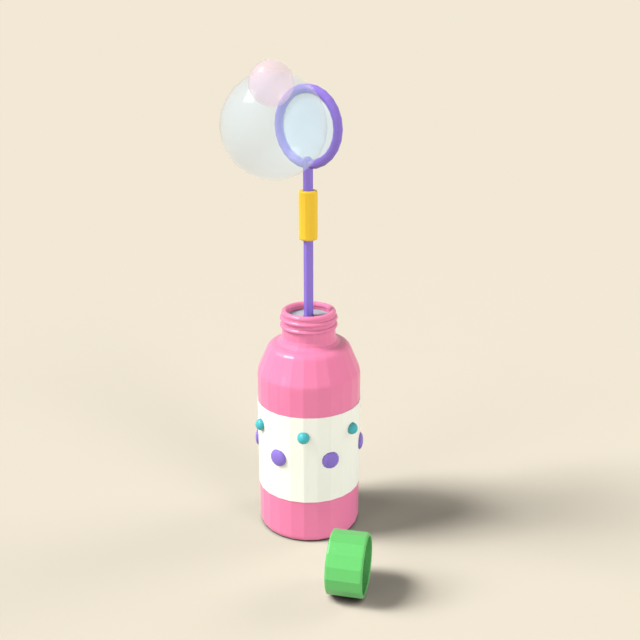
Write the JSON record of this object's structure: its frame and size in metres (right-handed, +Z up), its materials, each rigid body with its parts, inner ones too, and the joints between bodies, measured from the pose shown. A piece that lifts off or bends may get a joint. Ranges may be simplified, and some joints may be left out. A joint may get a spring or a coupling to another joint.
{
  "type": "bubble wand",
  "caption": "Round bottle of bubble solution with a dotted label sleeve, a ringed wand with a grip standing in its mouth, blown bubbles in front of the ring, and its snap cap lying beside it.",
  "frame": {"origin": "centre of the bottle's foot, on the surface that the bottle stands on", "axes": "+Z up along the bottle and the wand's rod, -Y towards the front, where the cap and the bubbles are, +X to the right seen from the front"},
  "size_m": [0.067, 0.1082, 0.2305],
  "materials": {
    "bottle_pink": "satin",
    "label_ivory": "satin",
    "dot_purple": "satin",
    "dot_teal": "satin",
    "solution_blue": "gloss",
    "wand_purple": "satin",
    "grip_yellow": "satin",
    "soap_film": "gloss",
    "large_bubble_skin": "gloss",
    "small_bubble_skin": "gloss",
    "cap_green": "satin",
    "liner_white": "matte"
  },
  "bodies": {
    "bottle": {"bottle": "bottle_pink", "label": "label_ivory", "purple_dot_1": "dot_purple", "purple_dot_2": "dot_purple", "purple_dot_3": "dot_purple", "purple_dot_4": "dot_purple", "purple_dot_5": "dot_purple", "purple_dot_6": "dot_purple", "teal_dot_1": "dot_teal", "teal_dot_2": "dot_teal", "teal_dot_3": "dot_teal", "teal_dot_4": "dot_teal", "teal_dot_5": "dot_teal", "teal_dot_6": "dot_teal"},
    "solution": {"bubble_solution": "solution_blue"},
    "wand": {"wand_rod": "wand_purple", "wand_ring": "wand_purple", "wand_grip": "grip_yellow", "soap_film": "soap_film"},
    "large_bubble": {"large_bubble": "large_bubble_skin"},
    "small_bubble": {"small_bubble": "small_bubble_skin"},
    "cap_liner": {"cap_liner": "liner_white"},
    "cap": {"cap": "cap_green"}
  },
  "joints": [
    {"name": "wand_twirl", "type": "hinge", "parent": "bottle", "child": "solution", "pos_m": [0, 0, 0], "axis": [0, 0, 1], "continuous": true},
    {"name": "wand_lift", "type": "slide", "parent": "solution", "child": "wand", "axis": [0, 0, 1], "range_m": [0, 0.115]},
    {"name": "large_bubble_drift", "type": "slide", "parent": "wand", "child": "large_bubble", "axis": [-0.6088, -0.7934, 0], "range_m": [0, 0.06]},
    {"name": "small_bubble_drift", "type": "slide", "parent": "large_bubble", "child": "small_bubble", "axis": [0.0194, -0.7931, 0.6088], "range_m": [0, 0.03]},
    {"name": "cap_travel", "type": "slide", "parent": "bottle", "child": "cap_liner", "axis": [-0.2164, -0.9763, 0], "range_m": [-0.02, 0.06]},
    {"name": "cap_roll", "type": "hinge", "parent": "cap_liner", "child": "cap", "pos_m": [0.01833, -0.06392, 0.0146], "axis": [0.9763, -0.2164, 0], "range_deg": [-80, 240]}
  ],
  "couplings": [
    {"joint": "cap_roll", "follows": "cap_travel", "rad_per_m": 68.493}
  ]
}
